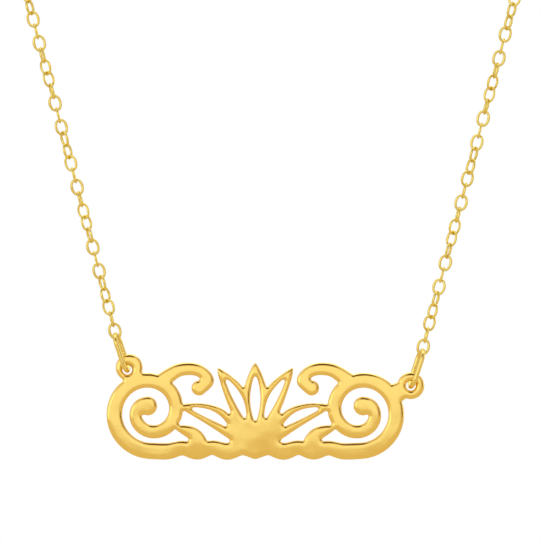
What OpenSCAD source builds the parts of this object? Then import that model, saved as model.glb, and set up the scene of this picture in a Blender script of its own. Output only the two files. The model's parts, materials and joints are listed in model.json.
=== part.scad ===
// A necklace with a pierced scrollwork plate on a fine cable chain, as it hangs when it is worn.
// Millimetres, +Z up, the front faces -Y. The origin is the nape, at the middle of the clasp.

/* [Loop] */
// Length round the whole necklace, with the clasp and the plate
loop_len = 406.4; // [380:0.1:560]
// Lean of the two front strands away from upright, in degrees
strand_lean = 14.7; // [8:0.1:22]
// Radius of the bend from each front strand to the side of the neck
shoulder_r = 40; // [25:1:50]
// Slope at which the loop climbs round the neck, in degrees
neck_slope = 25; // [15:1:40]

/* [Chain] */
// Length of one link over its wire
link_len = 2.22; // [2.1:0.01:2.8]
// Width of one link over its wire
link_w = 1.7; // [1.6:0.05:2]
// Thickness of the link wire
link_wire = 0.26; // [0.2:0.01:0.28]
// Least clear space between two links that hook into each other
link_gap = 0.1; // [0.1:0.01:0.16]
// Links over which the slow twist of the chain repeats
twist_links = 12.3; // [10:0.1:30]
// Turn that the slow twist adds at its most, in degrees
twist_turn = 90; // [0:5:90]

/* [Jump rings] */
// Length of a jump ring over its wire
ring_len = 5.5; // [4.4:0.05:7]
// Width of a jump ring over its wire
ring_w = 3.1; // [2.6:0.05:3.8]
// Thickness of the jump ring wire
ring_wire = 0.6; // [0.45:0.01:0.62]
// Turn of a jump ring away from edge-on, which brings its outer side to the front, in degrees
ring_turn = 12; // [0:1:20]
// Lean of a jump ring away from upright, in degrees
ring_lean = 18.5; // [10:0.5:24]
// Clear space between a jump ring and the link that it hooks
ring_gap = 0.12; // [0.1:0.01:0.2]

/* [Ears] */
// Width of the round ears over their metal
ear_d = 3.45; // [3:0.05:4.4]
// Bore of the ears
ear_hole = 1.25; // [1.2:0.01:1.5]
// Shift of the left ear's disc past its bore, towards the middle of the plate
ear_shift_x = 0.25; // [0:0.01:0.4]
// Shift of the left ear's disc above its bore
ear_shift_z = 0.28; // [0:0.01:0.4]
// Clear space above the ring wire, in the middle of an ear's bore
ear_gap = 0.45; // [0.2:0.01:0.5]
// Distance of the left bore from the left end of the plate
ear_in = 2.66; // [2:0.01:3.4]
// Distance of the right bore past the right end of the plate
ear_out = 0.85; // [0:0.01:1.4]
// Depth of the left bore below the top of the plate
ear_below = 0.96; // [0.6:0.01:1.6]
// Height by which the right bore sits lower than the left one
ear_drop = 2.05; // [0:0.01:3]

/* [Plate] */
// Width of the pierced plate
plate_w = 38.1; // [34:0.1:46]
// Height of the pierced plate
plate_h = 12.5; // [11:0.1:15]
// Thickness of the plate
plate_t = 0.9; // [0.7:0.01:1]
// Width of a full stroke of the scrollwork
stroke_w = 2.1; // [1.8:0.01:2.4]
// Radius left in the inner corners where strokes meet
corner_r = 0.22; // [0.1:0.01:0.3]
// Radius of the plate's outer corners and leaf tips
tip_r = 0.12; // [0.05:0.01:0.2]

/* [Clasp] */
// Width of the ring clasp over its wire
clasp_d = 5.5; // [5:0.1:7]
// Thickness of the clasp wire
clasp_wire = 0.82; // [0.7:0.01:0.9]
// Width of the thumb knob on the clasp
knob_d = 1.5; // [1.3:0.05:1.8]
// Clear space between the clasp and the links on it
clasp_gap = 0.14; // [0.1:0.01:0.2]

/* [Hidden] */

gold = "#F2CB6C";
chain_gold = "#E5B53F";
// Any number above 12 makes a true circle
round_fn = 32;

// The loop: one side runs from the first link up a straight front strand, through the shoulder bend
// and a quarter turn round the neck to the nape. The other side is its mirror image.
front_dir = [sin(strand_lean), 0, cos(strand_lean)];
neck_dir = [0, cos(neck_slope), sin(neck_slope)];
ring_dir = [sin(ring_lean), 0, cos(ring_lean)];
back_n = [-1, 0, 0];
back_b = cross(neck_dir, back_n);
bend_a = acos(front_dir * neck_dir);
bend_n = (neck_dir - cos(bend_a) * front_dir) / sin(bend_a);
bend_b = cross(front_dir, bend_n);
bend_run = shoulder_r * bend_a * PI / 180;
bend_shift = shoulder_r * (sin(bend_a) * front_dir + (1 - cos(bend_a)) * bend_n);

// From the middle of an ear's bore to the first link's lower crown, and on to its middle
link_half = (link_len - link_wire) / 2;
ring_foot = (ear_hole - ring_wire) / 2 - ear_gap;
ring_reach = ring_foot + ring_len - ring_wire - (ring_wire + link_wire) / 2 - ring_gap;
hook_shift = ring_reach * ring_dir;
first_shift = hook_shift + link_half * front_dir;

ear_span = plate_w - ear_in + ear_out;
start_x = ear_span / 2 + first_shift.x;
route_len = (loop_len - ear_span) / 2 - ring_reach - link_half;
front_run = (route_len - bend_run - PI / 2 * (start_x + bend_shift.x)) / (1 + PI / 2 * front_dir.x);
neck_r = start_x + front_run * front_dir.x + bend_shift.x;
start_p = -(front_run * front_dir + bend_shift + neck_r * (neck_dir + back_n));

// The left ear sits half the drop above the mean height, the right ear as much below it
lift = ear_drop / 2;
left_start = lift / cos(strand_lean);
right_start = -left_start;
function ear_at(side) = [side * ear_span / 2, start_p.y, start_p.z - first_shift.z]
    - side * lift * [sign(side) * tan(strand_lean), 0, 1];

// Last link: its far crown lies inside the clasp's wire
clasp_r = (clasp_d - clasp_wire) / 2;
clasp_hook = clasp_r - (clasp_wire + link_wire) / 2 - clasp_gap;
last_at = route_len - clasp_hook - link_half;

// A vector v carried round a bend of angle t from direction d towards n, with b across both
function carried(v, d, n, b, t) = (v * b) * b + (v * n) * (cos(t) * n - sin(t) * d);

// Place, direction and carried sideways vector of the route, s millimetres past the mean start
side_0 = [0, 1, 0];
side_1 = carried(side_0, front_dir, bend_n, bend_b, bend_a);
function turn_deg(s, r) = s / r * 180 / PI;
function arc_at(p, d, n, b, r, v, t) =
    [p + r * (sin(t) * d + (1 - cos(t)) * n), cos(t) * d + sin(t) * n, carried(v, d, n, b, t)];
function route(s) =
    s < front_run ? [start_p + s * front_dir, front_dir, side_0]
    : s < front_run + bend_run ?
        arc_at(start_p + front_run * front_dir, front_dir, bend_n, bend_b, shoulder_r, side_0,
            turn_deg(s - front_run, shoulder_r))
    : arc_at(start_p + front_run * front_dir + bend_shift, neck_dir, back_n, back_b, neck_r, side_1,
        turn_deg(s - front_run - bend_run, neck_r));

// Links alternate by a quarter turn under a slow twist. A last share of twist, felt only near the
// nape, brings the last link square to the clasp's wire.
pitch_most = link_len - 2 * link_wire - link_gap;
function link_count(start) = ceil((last_at - start) / pitch_most) + 1;
function free_roll(k) = 90 * k + twist_turn / 2 * (1 - cos(360 * k / twist_links));
nape_frame = route(last_at);
nape_roll = atan2(back_b * cross(nape_frame[1], nape_frame[2]), back_b * nape_frame[2]);
function settle(n) = let (off = nape_roll - free_roll(n - 1)) off - 180 * round(off / 180);
function link_roll(k, n) = free_roll(k) + settle(n) * pow(k / (n - 1), 3);

// The scrollwork plate, drawn in its own plane with the lower left corner of its outline at [0, 0].
// Its left half is listed, and its right half is the mirror image. Places are shares of plate_w and
// plate_h, radii and bows shares of plate_h, widths shares of stroke_w.
curve_steps = 6;
scroll_step = 9;
leaf_steps = 12;
corner_fn = 14;

// The stem along the foot, from the middle of the plate to the large scroll
// x, y, width
STEM = [
    [0.500, 0.105, 1.15],
    [0.455, 0.130, 1.00],
    [0.405, 0.088, 1.05],
    [0.355, 0.125, 0.90],
    [0.305, 0.086, 1.00],
    [0.255, 0.120, 0.90],
    [0.205, 0.088, 1.00],
    [0.147, 0.092, 1.00]
];
// Scrolls: the radius shrinks with this power of the sweep, and each ends in a round bud, whose outer
// side runs on from the stroke's
// centre x, centre y, start radius, end radius, power, start angle, sweep, start width, end width, bud
SCROLLS = [
    [0.147, 0.496, 0.404, 0.098, 1.20, 270, -515, 1.00, 0.72, 1.15]
];
// Tendrils that curl to the right, each ending in a round bud
// x, y, width
TENDRILS = [
    [[0.190, 0.815, 0.95], [0.243, 0.918, 0.80], [0.305, 0.920, 0.74], [0.343, 0.815, 0.66], [0.318, 0.715, 0.56]]
];
// Width of a tendril's bud
bud_w = 0.92;
// Leaves, each a long lens between its root and its tip, the broad ones pierced along the rib
// root x, root y, tip x, tip y, width, bow, slit width
LEAVES = [
    [0.486, 0.080, 0.372, 0.950, 1.45, -0.08, 0.54],
    [0.475, 0.090, 0.238, 0.560, 1.30, -0.11, 0.52],
    [0.350, 0.090, 0.222, 0.345, 0.80, -0.05, 0]
];
// The tall leaf in the middle
MIDDLE_LEAF = [0.500, 0.060, 0.500, 1.000, 1.70, 0, 0.62];
// Shares of a leaf's rib between which its slit runs
slit_from = 0.34;
slit_to = 0.87;
// Share of plate_h from a large scroll's middle at which the neck of its ear ends
neck_reach = 0.420;
// Width of that neck where it ends
neck_w = 1.20;

// A row of x, y and width shares in millimetres
function sized(row) = [row[0] * plate_w, row[1] * plate_h, row[2] * stroke_w];
// A point between b and c on the smooth curve through a, b, c and d
function between(a, b, c, d, t) =
    (2 * b + (c - a) * t + (2 * a - 5 * b + 4 * c - d) * t * t + (3 * b - a - 3 * c + d) * t * t * t) / 2;
// The smooth curve through all rows
function smooth(rows) = let (n = len(rows) - 1) [
    for (i = [0:n - 1], k = [0:curve_steps - 1])
        between(rows[max(i - 1, 0)], rows[i], rows[i + 1], rows[min(i + 2, n)], k / curve_steps),
    rows[n]
];
// Sideways unit vector at row i of a path
function across(path, i) = let (
    v = path[min(i + 1, len(path) - 1)] - path[max(i - 1, 0)]
) [-v.y, v.x] / norm([v.x, v.y]);

module dot(place, width) translate([place.x, place.y]) circle(d = width, $fn = round_fn);

// A stroke along rows of x, y and width, with round ends
module stroke(path) {
    last = len(path) - 1;
    edge = [for (i = [0:last]) across(path, i) * path[i][2] / 2];
    polygon(concat(
        [for (i = [0:last]) [path[i].x, path[i].y] + edge[i]],
        [for (i = [last:-1:0]) [path[i].x, path[i].y] - edge[i]]
    ));
    for (i = [0, last]) dot(path[i], path[i][2]);
}

module scroll(row) {
    steps = ceil(abs(row[6]) / scroll_step);
    path = [for (k = [0:steps]) let (
        t = k / steps,
        r = (row[2] + (row[3] - row[2]) * pow(t, row[4])) * plate_h,
        a = row[5] + row[6] * t
    ) [
        row[0] * plate_w + r * cos(a),
        row[1] * plate_h + r * sin(a),
        (row[7] + (row[8] - row[7]) * t) * stroke_w
    ]];
    end = path[steps];
    a = row[5] + row[6];
    stroke(path);
    dot([end.x, end.y] - (row[9] * stroke_w - end[2]) / 2 * [cos(a), sin(a)], row[9] * stroke_w);
}

module tendril(rows) {
    path = smooth([for (row = rows) sized(row)]);
    last = len(path) - 1;
    end = path[last];
    stroke(path);
    dot([end.x, end.y] - (bud_w * stroke_w - end[2]) / 2 * across(path, last), bud_w * stroke_w);
}

// Outline of a leaf from share t0 to share t1 of its rib, as wide as w at its widest
module lens(row, t0, t1, w) {
    root = [row[0] * plate_w, row[1] * plate_h];
    rib = [row[2] * plate_w, row[3] * plate_h] - root;
    side = [-rib.y, rib.x] / norm(rib);
    share = [for (k = [0:leaf_steps]) k / leaf_steps];
    mid = [for (u = share) let (t = t0 + (t1 - t0) * u)
        root + rib * t + side * row[5] * plate_h * sin(180 * t)];
    half = [for (u = share) side * w / 2 * pow(sin(180 * u), 0.8)];
    polygon(concat(
        [for (k = [0:leaf_steps]) mid[k] + half[k]],
        [for (k = [leaf_steps - 1:-1:1]) mid[k] - half[k]]
    ));
}
module leaf(row) lens(row, 0, 1, row[4] * stroke_w);
module slit(row) if (row[6] > 0) lens(row, slit_from, slit_to, row[6] * stroke_w);

// Both halves of what is drawn for the left one
module halves() {
    children();
    translate([plate_w, 0]) mirror([1, 0]) children();
}

// An ear and the short neck that joins it to the large scroll with its middle at centre. The disc's
// middle is moved past the bore by shift
module ear(place, centre, shift) {
    middle = place + shift;
    away = (middle - centre) / norm(middle - centre);
    dot(middle, ear_d);
    stroke([concat(middle, stroke_w), concat(centre + neck_reach * plate_h * away, neck_w * stroke_w)]);
}

// The whole pierced face of the plate, with its inner and outer corners rounded. The face is widened
// with its corners cut, so that no sharp tip runs out in a point
module plate_face() {
    scroll_x = SCROLLS[0][0] * plate_w;
    scroll_y = SCROLLS[0][1] * plate_h;
    offset(r = tip_r, $fn = corner_fn) offset(delta = -tip_r)
    offset(r = -corner_r, $fn = corner_fn) offset(delta = corner_r, chamfer = true) difference() {
        union() {
            halves() {
                stroke(smooth([for (row = STEM) sized(row)]));
                for (row = SCROLLS) scroll(row);
                for (rows = TENDRILS) tendril(rows);
                for (row = LEAVES) leaf(row);
            }
            leaf(MIDDLE_LEAF);
            ear([ear_in, plate_h - ear_below], [scroll_x, scroll_y], [ear_shift_x, ear_shift_z]);
            ear([plate_w + ear_out, plate_h - ear_below - ear_drop], [plate_w - scroll_x, scroll_y], [0, 0]);
        }
        halves() for (row = LEAVES) slit(row);
        slit(MIDDLE_LEAF);
    }
}

// The plate, bored through its ears from front to back
module nameplate() {
    left = ear_at(-1);
    color(gold) difference() {
        translate([left.x - ear_in, start_p.y, left.z - plate_h + ear_below])
            rotate([90, 0, 0]) translate([0, 0, -plate_t / 2]) linear_extrude(plate_t) plate_face();
        for (side = [-1, 1]) translate(ear_at(side))
            rotate([90, 0, 0]) cylinder(d = ear_hole, h = 2 * plate_t, center = true, $fn = round_fn);
    }
}

// An oval wire loop in the XZ plane, long along Z, with half rounds joined by straight sides
module wire_oval(length, width, wire) {
    crown_r = (width - wire) / 2;
    straight = length - width;
    for (end = [-1, 1]) translate([0, 0, end * straight / 2]) rotate([90, 0, 0])
        rotate([0, 0, end > 0 ? 0 : 180]) rotate_extrude(angle = 180, $fn = round_fn)
            translate([crown_r, 0]) circle(d = wire, $fn = round_fn);
    for (side = [-1, 1]) translate([side * crown_r, 0, 0])
        cylinder(d = wire, h = straight, center = true, $fn = round_fn);
}

// A jump ring from an ear's bore to the first link, turned a little from edge-on
module jump_ring(side) {
    middle = (ring_foot + (ring_len - ring_wire) / 2) * ring_dir;
    color(chain_gold) translate(ear_at(side) + [side * middle.x, 0, middle.z])
        rotate([0, side * ring_lean, 0]) rotate([0, 0, 90 + side * ring_turn])
            wire_oval(ring_len, ring_w, ring_wire);
}

// One side of the chain, from the first link to the clasp
module strand(start) {
    n = link_count(start);
    for (k = [0:n - 1]) {
        f = route(start + (last_at - start) * k / (n - 1));
        roll = link_roll(k, n);
        across_b = cross(f[1], f[2]);
        face = cos(roll) * f[2] + sin(roll) * across_b;
        wide = cross(face, f[1]);
        multmatrix([
            [wide.x, face.x, f[1].x, f[0].x],
            [wide.y, face.y, f[1].y, f[0].y],
            [wide.z, face.z, f[1].z, f[0].z],
            [0, 0, 0, 1]
        ]) wire_oval(link_len, link_w, link_wire);
    }
}

// A plain ring clasp that lies flat on the nape, with a thumb knob on its lower side
module clasp() {
    color(chain_gold) rotate([90 + neck_slope, 0, 0]) {
        rotate_extrude($fn = round_fn) translate([clasp_r, 0]) circle(d = clasp_wire, $fn = round_fn);
        translate([0, -clasp_r, 0]) sphere(d = knob_d, $fn = round_fn);
    }
}

module jump_ring_left() jump_ring(-1);
module jump_ring_right() jump_ring(1);
module chain_left() color(chain_gold) mirror([1, 0, 0]) strand(left_start);
module chain_right() color(chain_gold) strand(right_start);

nameplate();
jump_ring_left();
jump_ring_right();
chain_left();
chain_right();
clasp();
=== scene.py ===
"""A pierced plate necklace in polished yellow gold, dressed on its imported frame.

The plate, the links, the jump rings and the clasp are rebuilt as smooth surfaces exactly where the
frame has them, and a small white studio is set up round them. Lengths are in metres.
"""
import json
import math

import bpy
import numpy as np
from bpy.props import FloatProperty, FloatVectorProperty, IntProperty, PointerProperty
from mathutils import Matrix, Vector
from mathutils.geometry import delaunay_2d_cdt


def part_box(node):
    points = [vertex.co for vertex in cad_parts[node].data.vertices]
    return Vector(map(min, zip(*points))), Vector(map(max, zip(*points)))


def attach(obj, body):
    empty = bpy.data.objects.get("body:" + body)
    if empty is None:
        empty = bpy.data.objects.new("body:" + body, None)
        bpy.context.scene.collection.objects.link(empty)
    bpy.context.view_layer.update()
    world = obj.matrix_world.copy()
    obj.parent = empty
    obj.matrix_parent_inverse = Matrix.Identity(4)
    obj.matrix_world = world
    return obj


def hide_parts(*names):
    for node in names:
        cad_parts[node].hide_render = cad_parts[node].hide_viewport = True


bl_info = {
    "name": "Pierced Plate Necklace",
    "version": (1, 0, 0),
    "blender": (4, 5, 0),
    "location": "View3D > Sidebar > Necklace",
    "description": "Builds the polished plate, the wire chain, the clasp and their studio",
    "category": "Add Mesh",
}

MM = 0.001
FULL_TURN = 2 * math.pi
# Lengths under this count as this, so that nothing is divided by zero
TINY = 1e-12

# How a frame node's mesh is read: the grid on which its doubles fall together, how near to a plane
# or an outline a corner counts as on it, and the turn past which an outline's corner stays sharp
MERGE = 0.0005 * MM
NEAR = 0.002 * MM
SHARP_TURN = math.radians(35)
# Points that are measured against the outline at a time
BLOCK = 1500

# The mesh of the plate's face: rows past the edge's rounding, the share of its depth that a row's
# point keeps from every part of the outline, and the cells that hold one point of a row each
CROWN_ROWS = 3
DEPTH_KEPT = 0.975
ROW_CELL = 0.03 * MM
# Distance in millimetres at which the triangulation joins points
WELD = 1e-6

# Sections along and points round the wire. The links are many, so each has few faces
LINK_GRID = (16, 6)
RING_GRID = (240, 28)
CLASP_GRID = (220, 32)
# The power of a link's curve. An ellipse has 2
LINK_POWER = 2.2
# The power at which the clasp's wire swells into its knob. A higher one leaves a sharper neck
KNOB_POWER = 6

FLOOR_SPOKES = 96
FLOOR_RINGS = 8
# Width of the camera's sensor in millimetres, and the nearest and farthest that it sees in metres
SENSOR = 36
CLIP = (0.05, 20)

# Range of the roughness, and height and width of the slow wave in the surface: a cast plate that is
# buffed by hand, fine wire drawn through a die, and the thicker wire of the rings and the clasp
BUFFED_CAST = ((0.10, 0.19), 0.2 * MM, 4.5 * MM)
FINE_DRAWN = ((0.14, 0.24), 0.012 * MM, 0.8 * MM)
HEAVY_DRAWN = ((0.12, 0.20), 0.02 * MM, 1.5 * MM)
# Width of the patches of deeper alloy, and of the clouds of haze that a buffing wheel leaves
PATCH = 4 * MM
HAZE = 0.9 * MM
# Levels of the haze's noise at which the roughness is least and greatest
HAZE_LEVELS = (0.3, 0.7)
# Width and depth of the hairline buffing marks, and their scale along X, Y and Z. Real ones are
# finer, and wouldn't show
HAIR = 0.06 * MM
HAIR_DEPTH = 0.0012 * MM
HAIR_STRETCH = (0.04, 1, 1)
# Width and depth of the grain in plaster
GRAIN = 3 * MM
GRAIN_DEPTH = 0.05 * MM

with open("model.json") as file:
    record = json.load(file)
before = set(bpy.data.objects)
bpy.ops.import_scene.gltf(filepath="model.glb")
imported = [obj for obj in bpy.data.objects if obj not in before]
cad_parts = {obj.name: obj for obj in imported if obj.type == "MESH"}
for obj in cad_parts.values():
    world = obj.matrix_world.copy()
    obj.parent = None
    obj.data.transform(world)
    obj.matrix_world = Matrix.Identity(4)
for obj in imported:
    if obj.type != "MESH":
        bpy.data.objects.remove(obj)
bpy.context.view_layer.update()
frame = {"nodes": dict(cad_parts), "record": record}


def linear(hex_colour):
    """An sRGB colour such as #E5B53F as linear red, green and blue.

    Each channel c from 0 to 1 becomes c / 12.92 up to 0.04045, and ((c + 0.055) / 1.055) to the
    power 2.4 above it.
    """
    channels = [int(hex_colour[i:i + 2], 16) / 255 for i in (1, 3, 5)]
    return tuple(c / 12.92 if c <= 0.04045 else ((c + 0.055) / 1.055) ** 2.4 for c in channels)


class PlateSettings(bpy.types.PropertyGroup):
    """Sizes of the pierced plate that its frame solid doesn't say."""

    edge_width: FloatProperty(
        name="Edge width",
        description="Width over which buffing has rounded the edges",
        default=0.5 * MM,
        unit="LENGTH",
    )
    edge_drop: FloatProperty(
        name="Edge drop",
        description="Height that this rounding takes off the edges",
        default=0.27 * MM,
        unit="LENGTH",
    )
    crown: FloatProperty(
        name="Crown",
        description="Height by which the middle of a stroke stands above its rim",
        default=0.05 * MM,
        unit="LENGTH",
    )
    bow: FloatProperty(
        name="Bow",
        description="Height by which the plate bows forward between its top and its foot",
        default=0.2 * MM,
        unit="LENGTH",
    )
    crown_reach: FloatProperty(
        name="Crown reach",
        description="Distance from the outline at which a stroke's face turns flat",
        default=0.85 * MM,
        unit="LENGTH",
    )
    edge_steps: IntProperty(
        name="Edge steps", description="Steps from the side wall to the face", default=7
    )
    side_samples: IntProperty(
        name="Outline samples", description="Samples on each stretch of the outline", default=2
    )
    least_stretch: FloatProperty(
        name="Least stretch",
        description="Length under which a stretch of the outline is joined to the one before it",
        default=0.04 * MM,
        unit="LENGTH",
    )
    grid_step: FloatProperty(
        name="Face spacing",
        description="Spacing of the mesh in the middle of the face",
        default=0.4 * MM,
        unit="LENGTH",
    )


class WireSettings(bpy.types.PropertyGroup):
    """Sizes of the links, the jump rings and the clasp that their frame solids don't say."""

    link_wire: FloatProperty(
        name="Link wire", description="Thickness of the link wire", default=0.32 * MM, unit="LENGTH"
    )
    link_play: FloatProperty(
        name="Link play", description="Slack between two links", default=0.01 * MM, unit="LENGTH"
    )
    solder_swell: FloatProperty(
        name="Solder swell",
        description="Share by which a link's wire is thicker where it's soldered shut",
        default=0.14,
        subtype="FACTOR",
    )
    solder_run: FloatProperty(
        name="Solder length",
        description="Length of the soldered joint",
        default=0.22 * MM,
        unit="LENGTH",
    )
    cut_depth: FloatProperty(
        name="Joint depth",
        description="Share by which a jump ring's wire is thinner at its closed joint",
        default=0.1,
        subtype="FACTOR",
    )
    cut_run: FloatProperty(
        name="Joint width", description="Width of that joint", default=0.06 * MM, unit="LENGTH"
    )
    clasp_wire: FloatProperty(
        name="Clasp wire",
        description="Thickness of the clasp's wire",
        default=0.82 * MM,
        unit="LENGTH",
    )
    knob: FloatProperty(
        name="Thumb knob",
        description="Width of the clasp's thumb knob",
        default=1.5 * MM,
        unit="LENGTH",
    )


class FinishSettings(bpy.types.PropertyGroup):
    """Colours of the plate's, the wire's and the rings' gold and of the studio floor."""

    plate_light: FloatVectorProperty(
        name="Plate gold",
        description="Colour of the buffed plate",
        subtype="COLOR",
        default=linear("#F9D97D"),
    )
    plate_deep: FloatVectorProperty(
        name="Plate gold, deep",
        description="Deeper shade in the plate's cast metal",
        subtype="COLOR",
        default=linear("#F5CF6D"),
    )
    wire_light: FloatVectorProperty(
        name="Wire gold",
        description="Colour of the drawn wire",
        subtype="COLOR",
        default=linear("#F5E483"),
    )
    wire_deep: FloatVectorProperty(
        name="Wire gold, deep",
        description="Deeper shade in the drawn wire",
        subtype="COLOR",
        default=linear("#EDD067"),
    )
    ring_light: FloatVectorProperty(
        name="Ring gold",
        description="Colour of the jump rings and the clasp",
        subtype="COLOR",
        default=linear("#F4E088"),
    )
    ring_deep: FloatVectorProperty(
        name="Ring gold, deep",
        description="Deeper shade in the jump rings and the clasp",
        subtype="COLOR",
        default=linear("#EECD6A"),
    )
    floor: FloatVectorProperty(
        name="Floor",
        description="Colour of the studio floor",
        subtype="COLOR",
        default=linear("#E3D6B8"),
    )


class StudioSettings(bpy.types.PropertyGroup):
    """Places of the camera and the floor."""

    view_width: FloatProperty(
        name="View width",
        description="Width of the view at the plate",
        default=69.12 * MM,
        unit="LENGTH",
    )
    view_right: FloatProperty(
        name="View middle, across",
        description="Middle of the view, from the middle of the plate's box",
        default=0.58 * MM,
        unit="LENGTH",
    )
    view_up: FloatProperty(
        name="View middle, height",
        description="Middle of the view, above the foot of the plate",
        default=24.3 * MM,
        unit="LENGTH",
    )
    distance: FloatProperty(
        name="Camera distance",
        description="From the plate to the camera",
        default=1.5,
        unit="LENGTH",
    )
    floor_drop: FloatProperty(
        name="Floor drop",
        description="Height of the plate above the floor",
        default=60 * MM,
        unit="LENGTH",
    )
    floor_radius: FloatProperty(
        name="Floor radius", description="Radius of the floor", default=0.8, unit="LENGTH"
    )


# Soft lights and dark flags round the object, as seen from it. Each row is a direction, the height
# of the shape for its width, the angle in degrees within which it is full, the angle at which it
# ends, and the brightness that it adds
SURROUNDINGS = [
    # In front, and reaching further above it than below
    ((0.0, -1.0, 0.30), 1.0, 8, 34, 0.42),
    # The dark flag over the camera
    ((0.0, -0.81, 0.59), 2.0, 14, 26, -1.05),
    # Overhead, and a little behind
    ((0.0, 0.35, 1.0), 1.0, 28, 50, 0.80),
    # Tall window on the left, with a hot strip in front of it
    ((-1.0, -0.45, 0.0), 2.2, 14, 34, 0.35),
    ((-0.56, -0.83, 0.0), 2.2, 6, 13, 0.90),
    # Tall dark flag on the right, and a soft light past it
    ((0.76, -0.65, 0.0), 2.2, 5, 14, -0.55),
    ((1.0, 0.15, 0.0), 1.6, 12, 30, 0.55),
    # Behind, for the back of the plate
    ((0.0, 1.0, 0.10), 1.0, 20, 50, 0.24),
]
# The brightness that they add to, and the least that is left under the dark flags
SURROUND_BASE = 0.72
SURROUND_LEAST = 0.11
# Where the surroundings are dark they are as warm as this. They turn white between these levels
SURROUND_WARMTH = (1.0, 0.60, 0.26)
SURROUND_TURNS = (0.2, 1.0)


def add_node(tree, kind, inputs=None, **settings):
    """Adds a node, sets its properties, and sets or links each input named or numbered."""
    made = tree.nodes.new(kind)
    for name, value in settings.items():
        setattr(made, name, value)
    for socket, value in (inputs or {}).items():
        if isinstance(value, bpy.types.NodeSocket):
            tree.links.new(value, made.inputs[socket])
        else:
            made.inputs[socket].default_value = value
    return made


def gold(name, light, deep, roughness, wave, wave_size):
    """Polished gold: a metal whose colour and gloss drift a little, over a buffed, wavy surface.

    The drift keeps a wide stroke from looking like one flat patch, and the wave bends what it
    mirrors.
    """
    material = bpy.data.materials.new(name)
    material.use_nodes = True
    tree = material.node_tree
    tree.nodes.clear()
    place = add_node(tree, "ShaderNodeTexCoord").outputs["Object"]
    # Patches of deeper alloy
    patches = add_node(
        tree,
        "ShaderNodeTexNoise",
        {"Vector": place, "Scale": 1 / PATCH, "Detail": 3, "Roughness": 0.5},
    )
    colour = add_node(
        tree,
        "ShaderNodeMix",
        {0: patches.outputs["Fac"], 6: (*light, 1), 7: (*deep, 1)},
        data_type="RGBA",
    )
    # Haze left by the buffing wheel
    haze = add_node(
        tree,
        "ShaderNodeTexNoise",
        {"Vector": place, "Scale": 1 / HAZE, "Detail": 5, "Roughness": 0.6},
    )
    gloss = add_node(
        tree,
        "ShaderNodeMapRange",
        {
            "Value": haze.outputs["Fac"],
            "From Min": HAZE_LEVELS[0],
            "From Max": HAZE_LEVELS[1],
            "To Min": roughness[0],
            "To Max": roughness[1],
        },
    )
    # The slow wave that casting and buffing leave in the surface
    slow = add_node(
        tree,
        "ShaderNodeTexNoise",
        {"Vector": place, "Scale": 1 / wave_size, "Detail": 1, "Roughness": 0.4},
    )
    waved = add_node(
        tree, "ShaderNodeBump", {"Height": slow.outputs["Fac"], "Distance": wave, "Strength": 1.0}
    )
    # Hairline buffing marks, long in X
    stretch = add_node(tree, "ShaderNodeMapping", {"Vector": place, "Scale": HAIR_STRETCH})
    hairs = add_node(
        tree,
        "ShaderNodeTexNoise",
        {"Vector": stretch.outputs["Vector"], "Scale": 1 / HAIR, "Detail": 2, "Roughness": 0.7},
    )
    surface = add_node(
        tree,
        "ShaderNodeBump",
        {
            "Height": hairs.outputs["Fac"],
            "Distance": HAIR_DEPTH,
            "Strength": 1.0,
            "Normal": waved.outputs["Normal"],
        },
    )
    shader = add_node(
        tree,
        "ShaderNodeBsdfPrincipled",
        {
            "Base Color": colour.outputs[2],
            "Metallic": 1.0,
            "Roughness": gloss.outputs["Result"],
            "Normal": surface.outputs["Normal"],
        },
    )
    add_node(tree, "ShaderNodeOutputMaterial", {"Surface": shader.outputs["BSDF"]})
    return material


def plaster(name, colour):
    """Matt plaster board: no gloss, with a faint grain."""
    material = bpy.data.materials.new(name)
    material.use_nodes = True
    tree = material.node_tree
    tree.nodes.clear()
    place = add_node(tree, "ShaderNodeTexCoord").outputs["Object"]
    grain = add_node(
        tree, "ShaderNodeTexNoise", {"Vector": place, "Scale": 1 / GRAIN, "Detail": 4}
    )
    surface = add_node(
        tree,
        "ShaderNodeBump",
        {"Height": grain.outputs["Fac"], "Distance": GRAIN_DEPTH, "Strength": 0.4},
    )
    shader = add_node(
        tree,
        "ShaderNodeBsdfPrincipled",
        {"Base Color": (*colour, 1), "Roughness": 0.9, "Normal": surface.outputs["Normal"]},
    )
    add_node(tree, "ShaderNodeOutputMaterial", {"Surface": shader.outputs["BSDF"]})
    return material


def new_piece(name, corners, faces, material):
    """A smooth mesh object at the origin, made from arrays of corners and faces."""
    mesh = bpy.data.meshes.new(name)
    mesh.from_pydata(corners.tolist(), [], faces)
    mesh.polygons.foreach_set("use_smooth", np.ones(len(mesh.polygons), bool))
    mesh.update()
    made = bpy.data.objects.new(name, mesh)
    made.data.materials.append(material)
    bpy.context.scene.collection.objects.link(made)
    return made


def node_mesh(name):
    """Corners of a frame node with doubles merged, and its triangles."""
    mesh = frame["nodes"][name].data
    mesh.calc_loop_triangles()
    corners = np.empty(len(mesh.vertices) * 3, np.float32)
    mesh.vertices.foreach_get("co", corners)
    triangles = np.empty(len(mesh.loop_triangles) * 3, np.int32)
    mesh.loop_triangles.foreach_get("vertices", triangles)
    cells = np.round(corners.reshape(-1, 3) / MERGE)
    cells, back = np.unique(cells, axis=0, return_inverse=True)
    triangles = back.reshape(-1)[triangles].reshape(-1, 3)
    whole = (triangles != np.roll(triangles, 1, axis=1)).all(axis=1)
    return cells * MERGE, triangles[whole]


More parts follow.
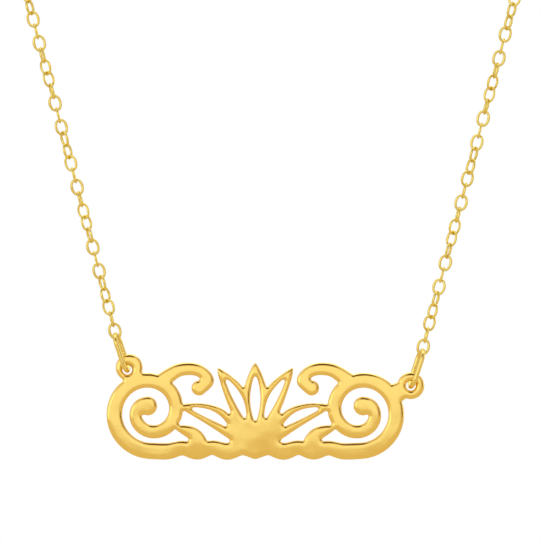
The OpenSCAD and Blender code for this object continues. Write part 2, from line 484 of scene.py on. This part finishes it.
def islands(count, triangles):
    """Number of the loose part that each corner belongs to.

    Every corner takes the least number among its neighbours until nothing changes.
    """
    label = np.arange(count)
    ends = np.concatenate([triangles[:, [0, 1]], triangles[:, [1, 2]], triangles[:, [2, 0]]])
    while True:
        least = label.copy()
        np.minimum.at(least, ends[:, 0], label[ends[:, 1]])
        np.minimum.at(least, ends[:, 1], label[ends[:, 0]])
        least = least[least]
        if (least == label).all():
            return np.unique(label, return_inverse=True)[1]
        label = least


def wire_places(name):
    """Middle, axes and size of each wire loop in a frame node.

    The axes are a loop's directions of middle, least and greatest spread: across its width towards
    the back, through its plane and upwards along its length. The size is its extent along each.
    """
    corners, triangles = node_mesh(name)
    part = islands(len(corners), triangles)
    count = np.bincount(part)
    middles = np.stack([np.bincount(part, corners[:, i]) / count for i in range(3)], axis=1)
    off = corners - middles[part]
    spread = np.stack(
        [np.bincount(part, off[:, i] * off[:, j]) for i in range(3) for j in range(3)], axis=1
    )
    _, axes = np.linalg.eigh(spread.reshape(-1, 3, 3))
    along = axes[:, :, 2] * np.where(axes[:, 2:3, 2] < 0, -1, 1)
    through = axes[:, :, 0]
    through = through * np.where(np.cross(through, along)[:, 1:2] < 0, -1, 1)
    across = np.cross(through, along)
    turned = np.stack([across, through, along], axis=1)
    reach = np.einsum("vj,vij->vi", off, turned[part])
    size = np.zeros((len(count), 3))
    np.maximum.at(size, part, np.abs(reach))
    return middles, turned, 2 * size


def ring_faces(along, around):
    """Quads of a closed tube with that many sections and points round each."""
    i, j = np.meshgrid(np.arange(along), np.arange(around), indexing="ij")
    ii, jj = (i + 1) % along, (j + 1) % around
    quads = np.stack([i * around + j, i * around + jj, ii * around + jj, ii * around + j], axis=-1)
    return quads.reshape(-1, 4)


def closed_tube(path, wire, around):
    """Corners of a tube along a closed path in the XZ plane.

    At each point the tube's circle is spanned by the outward normal in the plane and by Y. wire is
    the tube's diameter at each point. Its corners lie at the circle's radius times a / sin(a),
    where a is half the angle between two of them, so that a tube of few faces is as wide as the
    wire on average.
    """
    ahead = np.roll(path, -1, axis=0) - np.roll(path, 1, axis=0)
    outward = np.stack([ahead[:, 1], -ahead[:, 0]], axis=1)
    outward /= np.linalg.norm(outward, axis=1, keepdims=True)
    angle = np.arange(around) * FULL_TURN / around
    half_step = math.pi / around
    radius = wire[:, None] / 2 * half_step / math.sin(half_step)
    sideways = radius * np.cos(angle)
    return np.stack(
        [
            path[:, :1] + sideways * outward[:, :1],
            radius * np.sin(angle),
            path[:, 1:] + sideways * outward[:, 1:],
        ],
        axis=-1,
    ).reshape(-1, 3)


def stadium(half_wide, half_long, count):
    """Points evenly spaced round two half circles joined by straight sides, from mid side.

    With s the length run so far, a side is a straight line in z and an end turns by s over the
    radius. The lengths come with the points.
    """
    straight = half_long - half_wide
    length = 4 * straight + FULL_TURN * half_wide
    s = np.arange(count) / count * length
    turn = math.pi * half_wide
    first = np.clip(s - straight, 0, turn) / half_wide
    second = np.clip(s - 3 * straight - turn, 0, turn) / half_wide
    angle = first + second
    up = np.clip(s, 0, straight) + np.clip(s - 3 * straight - 2 * turn, 0, straight)
    down = np.clip(s - straight - turn, 0, 2 * straight)
    return np.stack([half_wide * np.cos(angle), half_wide * np.sin(angle) + up - down], axis=1), s


def oval(half_wide, half_long, power, count):
    """Points round the curve |x / half_wide| ^ power + |z / half_long| ^ power = 1, from mid side.

    At the turn t they are the half sizes times the cosine and the sine of t, each raised to
    2 / power with its sign kept. The lengths run so far come with them.
    """
    t = np.arange(count) * FULL_TURN / count
    wave = np.stack([np.cos(t), np.sin(t)], axis=1)
    path = np.sign(wave) * np.abs(wave) ** (2 / power) * (half_wide, half_long)
    step = np.linalg.norm(np.diff(path, axis=0, prepend=path[-1:]), axis=1)
    return path, np.cumsum(step) - step[0]


def swell(run, width):
    """A bell curve round a closed path's start: e to the power of -(distance / width) squared."""
    off = np.minimum(run, run[-1] + run[1] - run)
    return np.exp(-((off / width) ** 2))


def front_outline(corners, triangles, least):
    """Start, end and the corners before and after each stretch of a flat node's front outline.

    The outline is made of the edges that only one front triangle uses, with the metal to their left
    as seen from the front. A stretch shorter than least gives up its end corner, again and again
    until none is left, and of several in a row the first goes first.
    """
    front = corners[:, 1] < corners[:, 1].min() + NEAR
    face = triangles[front[triangles].all(axis=1)]
    start, end = open_edges(face, len(corners))
    flat = corners[:, [0, 2]]
    after = np.full(len(corners), -1)
    before = after.copy()
    while True:
        after[start], before[end] = end, start
        short = np.zeros(len(corners), bool)
        short[start] = np.linalg.norm(flat[end] - flat[start], axis=1) < least
        first = short[start] & ~short[before[start]]
        if not first.any():
            break
        dropped = end[first]
        after[start[first]] = after[dropped]
        start = start[~np.isin(start, dropped)]
        end = after[start]
    order = np.argsort(start)
    start, end = start[order], end[order]
    follows = np.searchsorted(start, end)
    return flat[start], flat[end], flat[before[start]], flat[after[end]], follows


def open_edges(triangles, count):
    """Start and end of each edge that only one triangle uses, in that triangle's direction."""
    ends = np.concatenate([triangles[:, [0, 1]], triangles[:, [1, 2]], triangles[:, [2, 0]]])
    key = ends[:, 0].astype(np.int64) * count + ends[:, 1]
    opposite = ends[:, 1].astype(np.int64) * count + ends[:, 0]
    alone = ends[~np.isin(key, opposite)]
    return alone[:, 0], alone[:, 1]


def unit(vectors):
    """The vectors at length 1."""
    return vectors / np.maximum(np.linalg.norm(vectors, axis=-1, keepdims=True), TINY)


def smooth_outline(a, b, before, after, samples):
    """Points and inward normals on smooth curves through the outline's corners.

    Each stretch is a cubic with given tangents at its ends. A corner's tangent is the mean of its
    two stretches, each weighted by the other's length, and a corner that turns by more than
    SHARP_TURN stays sharp.
    """
    line = b - a
    run = np.linalg.norm(line, axis=1, keepdims=True)

    def tangent(come, go):
        long_come = np.linalg.norm(come, axis=1, keepdims=True)
        long_go = np.linalg.norm(go, axis=1, keepdims=True)
        soft = unit(unit(come) * long_go + unit(go) * long_come)
        keeps = (unit(come) * unit(go)).sum(axis=1, keepdims=True) > math.cos(SHARP_TURN)
        return np.where(keeps, soft, unit(line))

    tangent_a, tangent_b = tangent(a - before, line), tangent(line, after - b)
    t = (np.arange(samples) / samples)[None, :, None]
    a, b, tangent_a, tangent_b = (v[:, None, :] for v in (a, b, tangent_a * run, tangent_b * run))
    points = (
        (2 * t**3 - 3 * t**2 + 1) * a
        + (t**3 - 2 * t**2 + t) * tangent_a
        + (3 * t**2 - 2 * t**3) * b
        + (t**3 - t**2) * tangent_b
    )
    ahead = unit(
        (6 * t**2 - 6 * t) * (a - b)
        + (3 * t**2 - 4 * t + 1) * tangent_a
        + (3 * t**2 - 2 * t) * tangent_b
    )
    inward = np.stack([-ahead[..., 1], ahead[..., 0]], axis=-1)
    return points.reshape(-1, 2), inward.reshape(-1, 2)


def depth_in(points, start, end):
    """Distance from each point to the nearest of the stretches, worked out in blocks."""
    line = end - start
    square = np.maximum((line**2).sum(axis=1), TINY**2)
    found = []
    for block in np.array_split(points, max(1, len(points) // BLOCK)):
        off = block[:, None, :] - start[None]
        share = np.clip((off * line).sum(axis=2) / square, 0, 1)
        found.append(np.sqrt((((off - share[..., None] * line) ** 2).sum(axis=2)).min(axis=1)))
    return np.concatenate(found)


def inside(points, start, end):
    """Whether each point is in the metal.

    It is where a line to its right crosses the outline an odd number of times.
    """
    rise = end[:, 1] - start[:, 1]
    rise = np.where(np.abs(rise) < TINY, TINY, rise)
    found = []
    for block in np.array_split(points, max(1, len(points) // BLOCK)):
        x, z = block[:, :1], block[:, 1:]
        spans = (start[:, 1] > z) != (end[:, 1] > z)
        crossing = start[:, 0] + (z - start[:, 1]) / rise * (end[:, 0] - start[:, 0])
        found.append((spans & (crossing > x)).sum(axis=1) % 2 == 1)
    return np.concatenate(found)


def face_points(rim, inward, start, end, sizes):
    """Points of the plate's face: its outline, rows in from it, and a square grid past the rows.

    A row lies at one depth along the outline's normals, less the points that come much nearer to
    another part of it, and less all but one in each small cell.
    """
    turn = np.linspace(0, math.pi / 2, sizes.edge_steps + 1)[1:]
    depths = np.concatenate([
        sizes.edge_width * (1 - np.cos(turn)),
        np.linspace(sizes.edge_width, sizes.crown_reach, CROWN_ROWS + 1)[1:],
    ])
    points = [rim]
    for depth in depths:
        row = rim + inward * depth
        row = row[depth_in(row, start, end) > DEPTH_KEPT * depth]
        first = np.unique(np.round(row / ROW_CELL), axis=0, return_index=True)[1]
        points.append(row[np.sort(first)])
    low, high = rim.min(axis=0), rim.max(axis=0)
    step = sizes.grid_step
    x, z = np.meshgrid(np.arange(low[0], high[0], step), np.arange(low[1], high[1], step))
    grid = np.stack([x, z], axis=-1).reshape(-1, 2)
    grid = grid[inside(grid, start, end)]
    points.append(grid[depth_in(grid, start, end) > sizes.crown_reach + step / 3])
    return np.concatenate(points)


def face_triangles(points, edges, start, end):
    """Corners and triangles of the face, which keep to the outline and face one way."""
    places = [Vector(place) for place in (points / MM).tolist()]
    made = delaunay_2d_cdt(places, edges.tolist(), [], 0, WELD, False)
    flat = np.array([tuple(corner) for corner in made[0]]) * MM
    face = np.array(made[2])
    face = face[inside(flat[face].mean(axis=1), start, end)]
    used, face = np.unique(face, return_inverse=True)
    flat, face = flat[used], face.reshape(-1, 3)
    p, q, r = (flat[face[:, i]] for i in range(3))
    turns = (q[:, 0] - p[:, 0]) * (r[:, 1] - p[:, 1]) - (q[:, 1] - p[:, 1]) * (r[:, 0] - p[:, 0])
    return flat, np.where(turns[:, None] < 0, face[:, ::-1], face)


class NECKLACE_OT_plate(bpy.types.Operator):
    """Build the pierced plate with its edges rounded by buffing"""

    bl_idname = "necklace.plate"
    bl_label = "Pierced plate"

    def execute(self, context):
        """The face's height is a function of the depth d in from the outline.

        Up to the edge width it rises along a quarter ellipse, by the edge drop times the root of
        1 - (1 - d / width) squared. A low crown is added, which grows as
        1 - (1 - d / reach) squared up to the reach. The whole plate is bowed forward by
        bow * (0.5 - u squared), where u runs from -1 at the foot to 1 at the top.
        """
        sizes = context.scene.necklace_plate
        finish = context.scene.necklace_finish
        low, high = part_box("nameplate")
        middle, half = (low.y + high.y) / 2, (high.y - low.y) / 2
        corners, triangles = node_mesh("nameplate")
        a, b, before, after, follows = front_outline(corners, triangles, sizes.least_stretch)
        count = sizes.side_samples
        rim, inward = smooth_outline(a, b, before, after, count)
        number = np.arange(len(rim))
        step_on = np.where(number % count < count - 1, number + 1, follows[number // count] * count)
        start, end = rim, rim[step_on]
        points = face_points(rim, inward, start, end, sizes)
        flat, face = face_triangles(points, np.stack([number, step_on], axis=1), start, end)

        depth = depth_in(flat, start, end)
        depth[depth < NEAR] = 0
        edge = 1 - np.minimum(depth / sizes.edge_width, 1)
        reach = 1 - np.minimum(depth / sizes.crown_reach, 1)
        height = half - sizes.crown - sizes.edge_drop
        height = height + sizes.edge_drop * np.sqrt(1 - edge**2) + sizes.crown * (1 - reach**2)
        share = 2 * (flat[:, 1] - low.z) / (high.z - low.z) - 1
        forward = sizes.bow * (0.5 - share**2)
        front = np.stack([flat[:, 0], middle - forward - height, flat[:, 1]], axis=1)
        back = np.stack([flat[:, 0], middle - forward + height, flat[:, 1]], axis=1)
        total = len(flat)
        rim_a, rim_b = open_edges(face, total)
        walls = np.stack([rim_b, rim_a, rim_a + total, rim_b + total], axis=1)
        faces = face.tolist() + (face[:, ::-1] + total).tolist() + walls.tolist()
        material = gold("Buffed cast gold", finish.plate_light, finish.plate_deep, *BUFFED_CAST)
        plate = new_piece("pierced_plate", np.concatenate([front, back]), faces, material)
        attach(plate, "pendant")
        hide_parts("nameplate")
        return {"FINISHED"}


class NECKLACE_OT_chains(bpy.types.Operator):
    """Build the oval links of both strands, soldered shut and hooked through each other"""

    bl_idname = "necklace.chains"
    bl_label = "Chain strands"

    def execute(self, context):
        """Each link is one oval tube, set at the middle and axes of its solid in the frame.

        Its length is the mean distance to the next link and twice the wire, less the play.
        """
        sizes = context.scene.necklace_wire
        finish = context.scene.necklace_finish
        material = gold("Drawn gold wire", finish.wire_light, finish.wire_deep, *FINE_DRAWN)
        along, around = LINK_GRID
        for node in ("chain_left", "chain_right"):
            middles, axes, size = wire_places(node)
            order = np.argsort(self.run_from_plate(middles))
            middles, axes = middles[order], axes[order]
            pitch = np.linalg.norm(np.diff(middles, axis=0), axis=1).mean()
            wire = sizes.link_wire
            length = pitch + 2 * wire - sizes.link_play
            path, run = oval((size[0, 0] - wire) / 2, (length - wire) / 2, LINK_POWER, along)
            thick = wire * (1 + sizes.solder_swell * swell(run, sizes.solder_run))
            link = closed_tube(path, thick, around)
            # The links lie in two planes by turns. In each, every second one has its joint on the
            # other side, as a chain maker turns them
            flip = np.where(np.arange(len(middles)) % 4 < 2, 1.0, -1.0)
            axes = axes * np.stack([flip, flip, np.ones(len(flip))], axis=1)[:, :, None]
            corners = middles[:, None] + np.einsum("pi,nij->npj", link, axes)
            one = ring_faces(along, around)
            shift = (np.arange(len(middles)) * len(link))[:, None, None]
            faces = (one[None] + shift).reshape(-1, 4).tolist()
            name = node.replace("chain", "strand")
            strand = new_piece(name, corners.reshape(-1, 3), faces, material)
            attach(strand, "loop")
            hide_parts(node)
        return {"FINISHED"}

    @staticmethod
    def run_from_plate(middles):
        """A measure that grows along a strand: height on the front run, then distance back."""
        return middles[:, 2] + middles[:, 1]


class NECKLACE_OT_jump_rings(bpy.types.Operator):
    """Build the two oval jump rings that carry the plate"""

    bl_idname = "necklace.jump_rings"
    bl_label = "Jump rings"

    def execute(self, context):
        """Each ring is a tube round a stadium, with a fine groove where its cut ends meet."""
        sizes = context.scene.necklace_wire
        finish = context.scene.necklace_finish
        material = gold("Drawn gold ring wire", finish.ring_light, finish.ring_deep, *HEAVY_DRAWN)
        along, around = RING_GRID
        for side in ("left", "right"):
            node = "jump_ring_" + side
            middles, axes, size = wire_places(node)
            wide, wire, length = size[0]
            path, run = stadium((wide - wire) / 2, (length - wire) / 2, along)
            thick = wire * (1 - sizes.cut_depth * swell(run, sizes.cut_run))
            corners = middles[0] + closed_tube(path, thick, around) @ axes[0]
            faces = ring_faces(along, around).tolist()
            ring = new_piece("oval_ring_" + side, corners, faces, material)
            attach(ring, "pendant")
            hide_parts(node)
        return {"FINISHED"}


class NECKLACE_OT_clasp(bpy.types.Operator):
    """Build the plain ring clasp with its thumb knob"""

    bl_idname = "necklace.clasp"
    bl_label = "Ring clasp"

    def execute(self, context):
        """A round tube whose radius swells into the knob.

        At the run s from the knob's middle, the wire's radius and the knob's, which is the root of
        R squared minus s squared, are each raised to KNOB_POWER. The tube's radius is that root of
        their sum.
        """
        sizes = context.scene.necklace_wire
        finish = context.scene.necklace_finish
        corners = node_mesh("clasp")[0]
        middle = np.array(frame["record"]["mounts"][0]["pos_m"])
        off = corners - middle
        _, axes = np.linalg.eigh(off.T @ off)
        through = axes[:, 0]
        # The knob is all that lies more to one side of the ring's middle than to the other
        down = unit(off.mean(axis=0) - off.mean(axis=0) @ through * through)
        low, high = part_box("clasp")
        radius = (high.x - low.x) / 2 - sizes.clasp_wire / 2
        along, around = CLASP_GRID
        angle = np.arange(along) * FULL_TURN / along
        path = radius * np.stack([np.sin(angle), -np.cos(angle)], axis=1)
        off_knob = np.minimum(angle, FULL_TURN - angle) * radius
        ball = np.sqrt(np.maximum((sizes.knob / 2) ** 2 - off_knob**2, 0))
        wire = np.full(along, sizes.clasp_wire / 2)
        thick = 2 * (wire**KNOB_POWER + ball**KNOB_POWER) ** (1 / KNOB_POWER)
        turned = np.stack([np.cross(through, -down), through, -down])
        tube = closed_tube(path, thick, around)
        material = gold("Cast gold clasp", finish.ring_light, finish.ring_deep, *HEAVY_DRAWN)
        faces = ring_faces(along, around).tolist()
        clasp = new_piece("ring_clasp", middle + tube @ turned, faces, material)
        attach(clasp, "loop")
        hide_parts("clasp")
        return {"FINISHED"}


class NECKLACE_OT_studio(bpy.types.Operator):
    """Set up the white surroundings, the floor and the camera"""

    bl_idname = "necklace.studio"
    bl_label = "Studio"

    def execute(self, context):
        """The floor is a disc of rings and spokes. The camera looks along +Y with a long lens."""
        sizes = context.scene.necklace_studio
        finish = context.scene.necklace_finish
        scene = context.scene
        scene.view_settings.view_transform = "Standard"
        low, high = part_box("nameplate")
        plate_y = (low.y + high.y) / 2

        radii = sizes.floor_radius * np.linspace(0, 1, FLOOR_RINGS + 1)[1:]
        spokes = np.arange(FLOOR_SPOKES)
        angle = spokes * FULL_TURN / FLOOR_SPOKES
        disc = radii[:, None, None] * np.stack([np.cos(angle), np.sin(angle)], axis=-1)
        corners = np.concatenate([[[0, 0]], disc.reshape(-1, 2)])
        corners = np.column_stack([corners, np.full(len(corners), low.z - sizes.floor_drop)])
        i, j = np.meshgrid(np.arange(FLOOR_RINGS - 1), spokes, indexing="ij")
        near, far = i * FLOOR_SPOKES + 1, (i + 1) * FLOOR_SPOKES + 1
        jj = (j + 1) % FLOOR_SPOKES
        quads = np.stack([near + j, far + j, far + jj, near + jj], axis=-1)
        hub = np.zeros_like(spokes)
        wedge = np.stack([hub, spokes + 1, (spokes + 1) % FLOOR_SPOKES + 1], axis=1)
        faces = quads.reshape(-1, 4).tolist() + wedge.tolist()
        board = plaster("Matt plaster board", finish.floor)
        floor = new_piece("studio_floor", corners, faces, board)

        self.surround(scene)

        lens = bpy.data.cameras.new("Camera")
        lens.sensor_width = SENSOR
        lens.lens = lens.sensor_width * sizes.distance / sizes.view_width
        lens.clip_start, lens.clip_end = CLIP
        camera = bpy.data.objects.new("Camera", lens)
        camera.location = (
            (low.x + high.x) / 2 + sizes.view_right,
            plate_y - sizes.distance,
            low.z + sizes.view_up,
        )
        camera.rotation_euler = (math.pi / 2, 0, 0)
        scene.collection.objects.link(camera)
        scene.camera = camera
        return {"FINISHED"}

    @staticmethod
    def surround(scene):
        """A white ground for the camera, and soft lights and dark flags for what the metal mirrors.

        Each adds its brightness within its full angle, and fades smoothly to nothing at its end
        angle.
        """
        world = bpy.data.worlds.new("White studio")
        scene.world = world
        world.use_nodes = True
        tree = world.node_tree
        tree.nodes.clear()
        look = add_node(tree, "ShaderNodeTexCoord").outputs["Generated"]
        level = SURROUND_BASE
        for direction, tall, full, ends, brightness in SURROUNDINGS:
            aim = Vector(direction).normalized()
            pressed = add_node(
                tree, "ShaderNodeVectorMath", {0: look, 1: (1, 1, 1 / tall)}, operation="MULTIPLY"
            )
            even = add_node(
                tree, "ShaderNodeVectorMath", {0: pressed.outputs[0]}, operation="NORMALIZE"
            )
            toward = add_node(
                tree, "ShaderNodeVectorMath", {0: even.outputs[0], 1: aim}, operation="DOT_PRODUCT"
            )
            fade = add_node(
                tree,
                "ShaderNodeMapRange",
                {
                    "Value": toward.outputs["Value"],
                    "From Min": math.cos(math.radians(ends)),
                    "From Max": math.cos(math.radians(full)),
                    "To Min": 0.0,
                    "To Max": brightness,
                },
                interpolation_type="SMOOTHSTEP",
            )
            level = add_node(tree, "ShaderNodeMath", {0: level, 1: fade.outputs["Result"]})
            level = level.outputs[0]
        level = add_node(tree, "ShaderNodeMath", {0: level, 1: SURROUND_LEAST}, operation="MAXIMUM")
        level = level.outputs[0]
        turned = add_node(
            tree,
            "ShaderNodeMapRange",
            {"Value": level, "From Min": SURROUND_TURNS[0], "From Max": SURROUND_TURNS[1]},
        )
        warm = add_node(
            tree,
            "ShaderNodeMix",
            {0: turned.outputs["Result"], 6: (*SURROUND_WARMTH, 1), 7: (1, 1, 1, 1)},
            data_type="RGBA",
        )
        lit = add_node(tree, "ShaderNodeBackground", {"Color": warm.outputs[2], "Strength": level})
        ground = add_node(tree, "ShaderNodeBackground", {"Color": (1, 1, 1, 1), "Strength": 1.0})
        seen = add_node(tree, "ShaderNodeLightPath").outputs["Is Camera Ray"]
        both = add_node(
            tree, "ShaderNodeMixShader", {0: seen, 1: lit.outputs[0], 2: ground.outputs[0]}
        )
        add_node(tree, "ShaderNodeOutputWorld", {"Surface": both.outputs[0]})


class NECKLACE_PT_sidebar(bpy.types.Panel):
    """The necklace's steps, in the order in which they are built."""

    bl_idname = "NECKLACE_PT_sidebar"
    bl_label = "Pierced Plate Necklace"
    bl_space_type = "VIEW_3D"
    bl_region_type = "UI"
    bl_category = "Necklace"

    def draw(self, context):
        """One button for each step."""
        for step in STEPS:
            self.layout.operator(step.bl_idname)


STEPS = (
    NECKLACE_OT_studio,
    NECKLACE_OT_plate,
    NECKLACE_OT_jump_rings,
    NECKLACE_OT_chains,
    NECKLACE_OT_clasp,
)
SETTINGS = {
    "necklace_plate": PlateSettings,
    "necklace_wire": WireSettings,
    "necklace_finish": FinishSettings,
    "necklace_studio": StudioSettings,
}


def register():
    """Register the settings, the steps and the panel."""
    for name, group in SETTINGS.items():
        bpy.utils.register_class(group)
        setattr(bpy.types.Scene, name, PointerProperty(type=group))
    for step in STEPS:
        bpy.utils.register_class(step)
    bpy.utils.register_class(NECKLACE_PT_sidebar)


def unregister():
    """Undo register."""
    bpy.utils.unregister_class(NECKLACE_PT_sidebar)
    for step in reversed(STEPS):
        bpy.utils.unregister_class(step)
    for name, group in SETTINGS.items():
        delattr(bpy.types.Scene, name)
        bpy.utils.unregister_class(group)


def main():
    """Build everything in order."""
    register()
    bpy.ops.necklace.studio()
    bpy.ops.necklace.plate()
    bpy.ops.necklace.jump_rings()
    bpy.ops.necklace.chains()
    bpy.ops.necklace.clasp()


if __name__ == "__main__":
    main()
